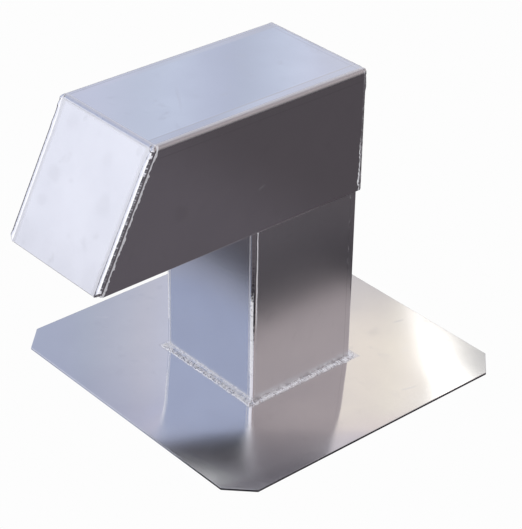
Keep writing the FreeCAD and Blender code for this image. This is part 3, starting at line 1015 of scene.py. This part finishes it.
# The window wall at the rear left, which the hood's roof mirrors: cool, with lighter and darker bands
ROOF_VIEW = [
    (127, (0.60, 0.62, 0.74)), (136.4, (0.62, 0.65, 0.78)), (136.7, (0.58, 0.60, 0.74)),
    (137.5, (0.67, 0.72, 0.89)), (138.1, (0.58, 0.64, 0.79)), (138.7, (0.54, 0.59, 0.75)),
    (139.2, (0.48, 0.53, 0.66)), (139.8, (0.47, 0.51, 0.66)), (140.4, (0.51, 0.55, 0.71)),
    (141.6, (0.60, 0.66, 0.82)), (142.8, (0.54, 0.59, 0.73)), (144.3, (0.59, 0.62, 0.78)),
    (147, (0.58, 0.61, 0.76)),
]

# What the plate mirrors there, a little higher up: a warm glow beside the slit, then cool and dim
PLATE_VIEW = [
    (127, (0.50, 0.49, 0.49)), (128.4, (0.58, 0.57, 0.56)), (129.2, (0.77, 0.74, 0.70)),
    (130.8, (0.96, 0.88, 0.79)), (131.4, (0.93, 0.86, 0.75)), (132.0, (0.87, 0.79, 0.71)),
    (132.6, (0.88, 0.80, 0.72)), (135.5, (0.72, 0.68, 0.68)), (139.2, (0.56, 0.58, 0.71)),
    (139.9, (0.55, 0.55, 0.64)), (140.6, (0.50, 0.52, 0.63)), (141.2, (0.47, 0.49, 0.60)),
    (142.0, (0.43, 0.47, 0.585)), (142.6, (0.42, 0.45, 0.59)), (143.3, (0.42, 0.46, 0.60)),
    (147, (0.42, 0.46, 0.60)),
]

# How the glow and the cool part change with height in degrees
WARM_HEIGHTS = [
    (30, (0.62, 0.64, 0.70)), (31.4, (0.70, 0.73, 0.82)), (32.6, (1.00, 1.00, 1.00)),
    (34.2, (0.96, 0.96, 0.97)), (34.8, (0.90, 0.91, 0.94)), (36.6, (0.86, 0.84, 0.91)),
    (38.7, (0.75, 0.74, 0.84)), (42, (0.70, 0.70, 0.82)),
]
COOL_HEIGHTS = [
    (30, (1.00, 1.00, 1.00)), (34.4, (1.00, 1.00, 1.00)), (35.4, (0.87, 0.87, 0.92)),
    (42, (0.86, 0.85, 0.92)),
]

# The bright slit's two edges: a point by compass and height in degrees, and the edge's lean
SLIT_LEFT = (130.86, 32.04, 0.575)
SLIT_RIGHT = (129.40, 32.64, 1.07)

CEILING = (0.62, 0.62, 0.68)
SIDE_WALL = (0.62, 0.62, 0.68)
UNDERNEATH = (0.80, 0.80, 0.80)
SOFT_LIGHT = (1.20, 1.20, 1.25)
DIM_CORNER = (0.10, 0.09, 0.11)
WINDOW_GLARE = (2.40, 2.34, 2.22)


def ramp(tree, value, stops):
    """A colour from stops, each a value and its colour."""
    low = stops[0][0]
    reach = stops[-1][0] - low
    places = [((place - low) / reach, colour) for place, colour in stops]
    return tree.add("ValToRGB", {"stops": places}, {0: (value - low) * (1 / reach)})


def past_edge(compass, height, edge):
    """Degrees past a leaning edge of the slit, negative before it."""
    edge_compass, edge_height, lean = edge
    return compass + height * lean - (edge_compass + lean * edge_height)


def room():
    """Soft light from all round, with one bright window slit at the rear left."""
    world = bpy.data.worlds.new("room")
    bpy.context.scene.world = world
    tree = Tree(world)
    x, y, z = tree.axes(tree.add("TexCoord", output=0))
    compass = tree.add("Math", {"operation": "ARCTAN2"}, {0: y, 1: x}) * math.degrees(1)
    height = tree.add("Math", {"operation": "ARCSINE"}, {0: z}) * math.degrees(1)
    side_light = tree.fade(z + compass * 0.0055, -0.10, -0.03) * tree.fade(compass, -80, -70)
    side_light = side_light * (1 - tree.fade(compass, 10, 30))
    low = tree.mix(side_light, ramp(tree, compass, LOW_WALLS), SIDE_WALL)
    high = ramp(tree, compass, HIGH_WALLS)
    plate_view = ramp(tree, compass, PLATE_VIEW)
    warm = tree.dim(plate_view, ramp(tree, height, WARM_HEIGHTS))
    cool = tree.dim(plate_view, ramp(tree, height, COOL_HEIGHTS))
    plate_view = tree.mix(tree.fade(compass, 133, 138), warm, cool)
    slit = 1 - tree.fade(past_edge(compass, height, SLIT_LEFT), -0.55, 0.35)
    slit = slit * tree.fade(past_edge(compass, height, SLIT_RIGHT), 0.15, 0.55)
    plate_view = tree.mix(slit * tree.fade(height, 30.2, 31.4), plate_view, WINDOW_GLARE)
    view = tree.mix(tree.fade(z, 0.485, 0.515), ramp(tree, compass, ROOF_VIEW), plate_view)
    toward_window = tree.fade(compass, 122, 128) * (1 - tree.fade(compass, 147, 153))
    toward_window = toward_window * tree.fade(z, 0.36, 0.41)
    colour = tree.mix(tree.fade(z, 0.28, 0.44), low, high)
    colour = tree.mix(toward_window, colour, view)
    colour = tree.mix(tree.fade(z, 0.70, 0.95), colour, CEILING)
    dim_side = tree.fade(compass, 5, 20) * (1 - tree.fade(compass, 56, 70))
    dim_side = dim_side * tree.fade(height, 39.5, 43) * (1 - tree.fade(height, 65, 75))
    colour = tree.mix(dim_side, colour, DIM_CORNER)
    colour = tree.mix(tree.fade(z, -0.10, 0.0), UNDERNEATH, colour)
    colour = tree.mix(tree.add("LightPath", output=2), colour, SOFT_LIGHT)
    colour = tree.mix(tree.add("LightPath", output=0), colour, PALE_FLOOR)
    tree.add("OutputWorld", None, {"Surface": tree.add("Background", None, {0: colour, 1: 1.0})})


def studio():
    room()
    floor_sheet("pale_floor", pale_paint, True)
    floor_sheet("mirrored_floor", dark_paint, False)


# Camera from the photograph

CAMERA_AZIMUTH = math.radians(48.70)
CAMERA_ELEVATION = math.radians(31.25)
CAMERA_ROLL = math.radians(1.09)
CAMERA_DISTANCE = 2324.2 * MM
CAMERA_ASIDE = 3.0 * MM
CAMERA_ABOVE = 99.7 * MM
FOCAL_PIXELS = 2001.4
PICTURE_HEIGHT = 529
SENSOR = 36.0


def camera():
    flat = math.cos(CAMERA_ELEVATION)
    back = Vector((math.sin(CAMERA_AZIMUTH) * flat, -math.cos(CAMERA_AZIMUTH) * flat,
                   math.sin(CAMERA_ELEVATION)))
    level = UP.cross(back).normalized()
    upright = back.cross(level)
    right = level * math.cos(CAMERA_ROLL) + upright * math.sin(CAMERA_ROLL)
    above = upright * math.cos(CAMERA_ROLL) - level * math.sin(CAMERA_ROLL)
    data = bpy.data.cameras.new("camera")
    data.sensor_width = SENSOR
    data.lens = FOCAL_PIXELS * SENSOR / PICTURE_HEIGHT
    made = bpy.data.objects.new("camera", data)
    place = UP * PLATE_TOP + right * CAMERA_ASIDE + above * CAMERA_ABOVE + back * CAMERA_DISTANCE
    made.matrix_world = Matrix.Translation(place) @ Matrix((right, above, back)).transposed().to_4x4()
    bpy.context.scene.collection.objects.link(made)
    bpy.context.scene.camera = made


def build():
    plate = sheet_finish("plate_aluminium", 0.07, rolled(0, 35), 0.3 * MM, plate_details)
    riser = sheet_finish("riser_aluminium", 0.29, rolled(2, 35), 0.4 * MM, riser_details)
    wall = sheet_finish("riser_front_aluminium", 0.22, rolled(2, 35), 0.4 * MM, riser_details)
    shell = sheet_finish("hood_aluminium", 0.10, rolled(1, 30), 0.4 * MM, hood_shell_details)
    face = sheet_finish("hood_face_aluminium", 0.22, rolled(0, 30), 0.6 * MM, face_details)
    back = sheet_finish("hood_back_aluminium", 0.18, rolled(0, 30), 0.6 * MM, rear_details)
    slant = weld_finish("slant_weld_metal", roughness=0.16, mottle=0.20, oxide=0.0)
    brow = weld_finish("brow_weld_metal", roughness=0.30, mottle=0.30, oxide=0.05)
    seam = weld_finish("seam_weld_metal", roughness=0.15, mottle=0.30, oxide=0.0,
                       crusted=(40 * MM, 148 * MM))
    rear = weld_finish("rear_weld_metal", roughness=0.22, mottle=0.35, oxide=0.12)
    foot = weld_finish("foot_weld_metal", roughness=0.23, mottle=0.40, oxide=0.40)
    base_plate(plate)
    riser_shell(riser)
    riser_front(wall)
    hood_shell(shell)
    hood_front(face)
    hood_rear(back)
    locating_bar(back)
    hood_corner_beads(slant, rear)
    hood_top_beads(brow, rear)
    riser_beads(seam)
    foot_beads(foot)
    strip_beads(foot)


build()
studio()
camera()
bpy.context.scene.view_settings.view_transform = "Standard"
